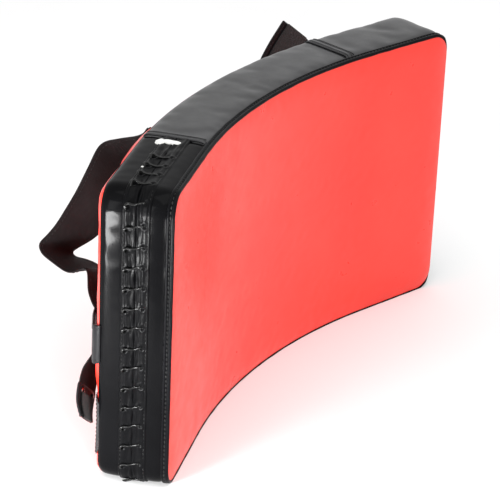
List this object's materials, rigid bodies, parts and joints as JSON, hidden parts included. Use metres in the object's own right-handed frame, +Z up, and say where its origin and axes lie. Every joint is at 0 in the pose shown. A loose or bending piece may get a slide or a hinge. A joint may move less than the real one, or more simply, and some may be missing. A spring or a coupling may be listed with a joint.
{
  "type": "curved thai pad",
  "caption": "Curved stuffed strike shield with a concave face, a laced end and two slanted hook-and-loop arm straps on its convex back.",
  "frame": {"origin": "on the long curved edge that the pad stands on, at the middle of its length and thickness", "axes": "+X along the pad from the laced end to the far end, +Y out of the convex back, +Z up across the pad's width"},
  "size_m": [0.5958, 0.1887, 0.304],
  "materials": {
    "red_leather": "soft satin grain",
    "black_leather": "satin grain",
    "foam_white": "matt closed-cell foam",
    "foam_dark": "matt dense foam",
    "lace_cord": "waxed cord",
    "webbing": "ribbed weave",
    "loop_pile": "fuzzy pile",
    "hook_tape": "fine moulded hooks",
    "rivet_metal": "polished"
  },
  "bodies": {
    "pad": {"front_panel": "red_leather", "back_panel": "red_leather", "front_welt": "black_leather", "top_gusset": "black_leather", "bottom_gusset": "black_leather", "far_gusset": "black_leather", "laced_gusset_front": "black_leather", "laced_gusset_back": "black_leather", "lace_hem_front": "black_leather", "lace_hem_back": "black_leather", "lace": "lace_cord", "strike_foam": "foam_dark", "core_foam_1": "foam_white", "core_foam_2": "foam_white", "core_foam_3": "foam_white", "back_foam": "foam_white", "near_anchor_patch": "black_leather", "far_anchor_patch": "black_leather", "near_loop_patch": "loop_pile", "far_loop_patch": "loop_pile", "near_strap": "webbing", "far_strap": "webbing", "near_keeper": "black_leather", "far_keeper": "black_leather"},
    "near_tab": {"near_tab_webbing": "webbing", "near_tab_tip": "black_leather", "near_tab_rivets": "rivet_metal", "near_hook_patch": "hook_tape"},
    "far_tab": {"far_tab_webbing": "webbing", "far_tab_tip": "black_leather", "far_tab_rivets": "rivet_metal", "far_hook_patch": "hook_tape"}
  },
  "joints": [
    {"name": "near_tab_hinge", "type": "hinge", "parent": "pad", "child": "near_tab", "pos_m": [-0.25314, -0.00679, 0.09815], "axis": [0.7526, 0.2337, -0.6157], "range_deg": [-4, 85]},
    {"name": "far_tab_hinge", "type": "hinge", "parent": "pad", "child": "far_tab", "pos_m": [0.16686, 0.02025, 0.19085], "axis": [-0.7686, 0.1737, 0.6157], "range_deg": [-34, 50]}
  ]
}
